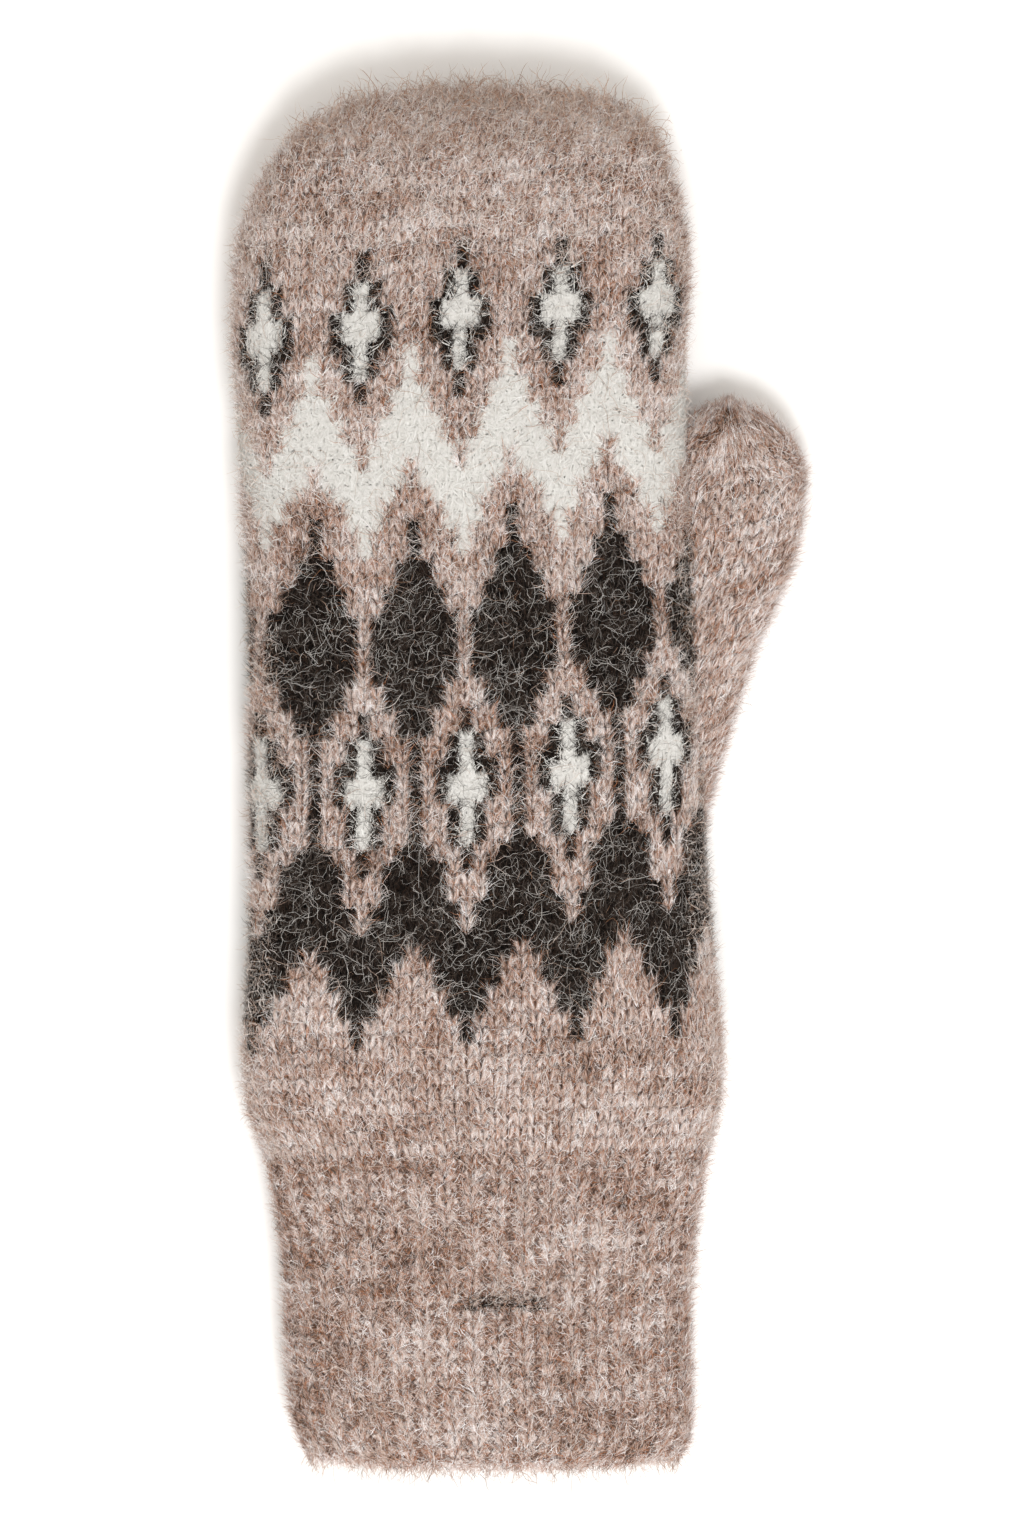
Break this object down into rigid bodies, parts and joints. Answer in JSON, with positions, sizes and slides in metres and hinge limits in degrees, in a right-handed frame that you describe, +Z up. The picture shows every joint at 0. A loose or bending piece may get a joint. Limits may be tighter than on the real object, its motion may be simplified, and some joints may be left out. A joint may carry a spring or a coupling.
{
  "type": "knitted mitten",
  "caption": "Knitted wool mitten, laid flat on its palm: ribbed open cuff, patterned hand with a round tip, and a tapered thumb at the side, all one hollow.",
  "frame": {"origin": "point on the flat underside of the hand, where the mitten rests, below the middle of the palm", "axes": "+Y along the hand towards the tip, +X towards the thumb, +Z up through the back of the hand"},
  "size_m": [0.114, 0.2772, 0.024],
  "materials": {
    "oatmeal_wool": "brushed heathered wool, beige-pink, brown and grey fibres with a short nap",
    "charcoal_wool": "brushed charcoal wool with loose light grey fibres over it",
    "cream_wool": "brushed cream wool with a short nap"
  },
  "bodies": {
    "root": {"cuff": "oatmeal_wool", "hand": "oatmeal_wool", "thumb": "oatmeal_wool"}
  },
  "joints": []
}
